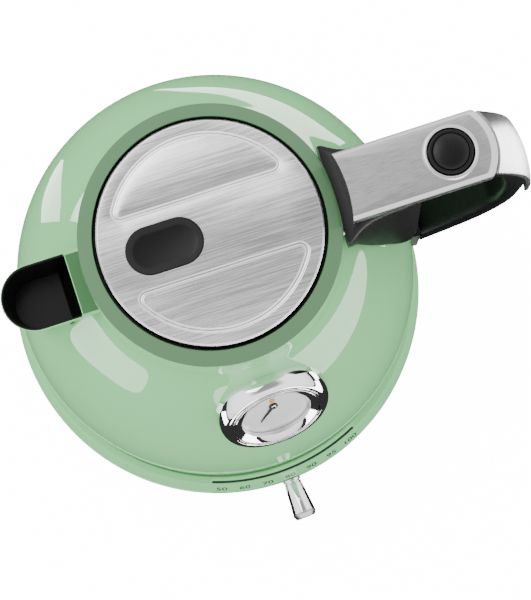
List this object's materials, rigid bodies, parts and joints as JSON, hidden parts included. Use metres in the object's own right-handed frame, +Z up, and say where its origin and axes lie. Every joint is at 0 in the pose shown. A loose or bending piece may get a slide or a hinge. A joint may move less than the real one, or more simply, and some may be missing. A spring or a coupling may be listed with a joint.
{
  "type": "cordless electric kettle",
  "caption": "Bell-shaped enamelled kettle with a looped handle, push-button lid and dial thermometer, on a round power base with a temperature slider.",
  "frame": {"origin": "centre of the power base on the table", "axes": "+Z up, +X towards the handle, -X towards the spout, -Y towards the dial and the temperature slider"},
  "size_m": [0.2664, 0.2359, 0.2356],
  "materials": {
    "enamel": "high gloss",
    "collar_enamel": "gloss",
    "black_plastic": "satin",
    "grey_plastic": "satin",
    "smoked_strip": "gloss",
    "brushed_lid": "brushed",
    "dial_silver": "matt silver",
    "steel": "satin",
    "chrome": "mirror",
    "satin_aluminium": "satin",
    "brass": "plain",
    "bronze": "satin",
    "rubber": "matt",
    "clear_glass": "clear",
    "circuit_board": "lacquered"
  },
  "bodies": {
    "power_base": {"base_shell": "enamel", "base_top_plate": "black_plastic", "base_bottom_cover": "black_plastic", "rubber_feet": "rubber", "base_screws": "steel", "base_socket": "black_plastic", "socket_contacts": "brass", "indicator_strip": "smoked_strip", "lever_track": "black_plastic", "control_board": "circuit_board", "cord_gland": "rubber"},
    "temperature_slider": {"temperature_lever": "chrome", "lever_cap": "satin_aluminium", "lever_collar": "black_plastic", "lever_carrier": "black_plastic"},
    "connector": {"kettle_connector": "black_plastic", "connector_rings": "brass"},
    "kettle": {"outer_shell": "enamel", "inner_vessel": "steel", "collar_ring": "collar_enamel", "mouth_liner": "black_plastic", "spout_shell": "enamel", "spout_liner": "black_plastic", "filter_frame": "black_plastic", "filter_mesh": "steel", "heater_plate": "satin_aluminium", "heating_element": "steel", "heater_seal": "rubber", "thermostat": "black_plastic", "underside_cover": "black_plastic", "underside_screws": "steel", "gauge_housing": "black_plastic", "gauge_bezel": "chrome", "gauge_ring": "chrome", "gauge_glass": "clear_glass", "gauge_dial": "dial_silver", "gauge_marker": "bronze", "gauge_coil": "brass", "handle_top_plate": "satin_aluminium", "handle_back_plate": "satin_aluminium", "handle_grip": "black_plastic", "upper_bracket": "grey_plastic", "lower_bracket": "grey_plastic", "handle_screws": "steel", "button_bezel": "satin_aluminium", "latch_pin": "steel", "latch_spring": "steel", "hinge_yoke": "steel", "hinge_pin": "steel"},
    "needle": {"gauge_needle": "grey_plastic"},
    "lid_button": {"button_cap": "black_plastic", "button_ring": "chrome"},
    "latch": {"latch_lever": "steel"},
    "lid": {"lid_cover": "brushed_lid", "lid_insert": "black_plastic", "lid_core": "black_plastic", "lid_gasket": "rubber", "lid_screws": "steel"}
  },
  "joints": [
    {"name": "temperature_slide", "type": "hinge", "parent": "power_base", "child": "temperature_slider", "pos_m": [0, 0, 0.016], "axis": [0, 0, 1], "range_deg": [-20.04, 20.04]},
    {"name": "kettle_lift", "type": "slide", "parent": "power_base", "child": "connector", "axis": [0, 0, 1], "range_m": [0, 0.06]},
    {"name": "kettle_swivel", "type": "hinge", "parent": "connector", "child": "kettle", "pos_m": [0, 0, 0.035], "axis": [0, 0, 1], "continuous": true},
    {"name": "needle_turn", "type": "hinge", "parent": "kettle", "child": "needle", "pos_m": [0.00465, -0.07823, 0.16337], "axis": [0.0539, -0.9076, 0.4164], "range_deg": [0, 76]},
    {"name": "button_press", "type": "slide", "parent": "kettle", "child": "lid_button", "axis": [0, 0, -1], "range_m": [0, 0.003], "stiffness_N_per_m": 500, "springref_m": -0.002},
    {"name": "latch_rock", "type": "hinge", "parent": "kettle", "child": "latch", "pos_m": [0.09, 0, 0.2257], "axis": [0, 1, 0], "range_deg": [0, 7], "deforming": ["latch_spring"]},
    {"name": "lid_hinge", "type": "hinge", "parent": "kettle", "child": "lid", "pos_m": [0.0475, 0, 0.2222], "axis": [0, 1, 0], "range_deg": [0, 60]}
  ],
  "couplings": [
    {"joint": "latch_rock", "follows": "button_press", "rad_per_m": 38.462}
  ]
}
